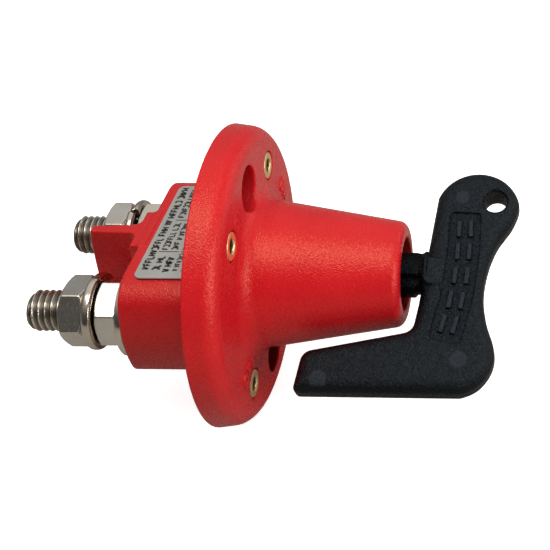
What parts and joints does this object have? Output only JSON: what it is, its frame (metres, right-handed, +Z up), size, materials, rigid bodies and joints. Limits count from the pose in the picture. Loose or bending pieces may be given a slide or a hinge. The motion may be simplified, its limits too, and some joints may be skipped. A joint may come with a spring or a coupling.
{
  "type": "battery disconnect switch",
  "caption": "Battery disconnect switch: a removable key in a tapered barrel turns to bridge two rear threaded terminals; a round flange mounts it on a panel.",
  "frame": {"origin": "on the key's turning axis at the middle of the overall box, 13.45 mm in front of the flange's rear face", "axes": "-Y is the front, where the key is; +Y is the rear, where the terminals are; +Z is up, the labelled face of the rear case; +X is to the right seen from the front"},
  "size_m": [0.0738, 0.1129, 0.0738],
  "materials": {
    "red_moulding": "satin moulded, finely stippled",
    "black_moulding": "matt moulded, finely stippled",
    "inner_moulding": "natural nylon",
    "label_foil": "satin printed foil",
    "plated_steel": "bright plated",
    "spring_steel": "bright",
    "washer_metal": "bright",
    "brass": "bright",
    "copper": null,
    "silver_contact": "silver-faced contact alloy",
    "seal_rubber": "matt"
  },
  "bodies": {
    "case": {"front_housing": "red_moulding", "rear_case": "red_moulding", "case_gasket": "seal_rubber", "label_plate": "label_foil", "eyelet_1": "brass", "eyelet_2": "brass", "eyelet_3": "brass", "eyelet_4": "brass", "thrust_washer": "washer_metal", "return_spring": "spring_steel", "stud_left": "plated_steel", "flat_washer_left": "plated_steel", "inner_nut_left": "plated_steel", "lock_washer_left": "plated_steel", "outer_nut_left": "plated_steel", "stud_seal_left": "seal_rubber", "stud_right": "plated_steel", "flat_washer_right": "plated_steel", "inner_nut_right": "plated_steel", "lock_washer_right": "plated_steel", "outer_nut_right": "plated_steel", "stud_seal_right": "seal_rubber"},
    "rotor": {"rotor": "inner_moulding", "rotor_seal": "seal_rubber"},
    "key": {"key": "black_moulding"},
    "carrier": {"contact_carrier": "inner_moulding", "contact_bridge": "copper", "contact_tip_left": "silver_contact", "contact_tip_right": "silver_contact", "bridge_clip": "spring_steel"}
  },
  "joints": [
    {"name": "key_turn", "type": "hinge", "parent": "case", "child": "rotor", "pos_m": [0, 0, 0], "axis": [0, 1, 0], "range_deg": [0, 90]},
    {"name": "key_withdraw", "type": "slide", "parent": "rotor", "child": "key", "axis": [0, -1, 0], "range_m": [0, 0.025]},
    {"name": "contact_travel", "type": "slide", "parent": "case", "child": "carrier", "axis": [0, 1, 0], "range_m": [0, 0.0031], "deforming": ["return_spring"]}
  ],
  "couplings": [
    {"joint": "contact_travel", "follows": "key_turn", "m_per_rad": 0.0019099}
  ]
}
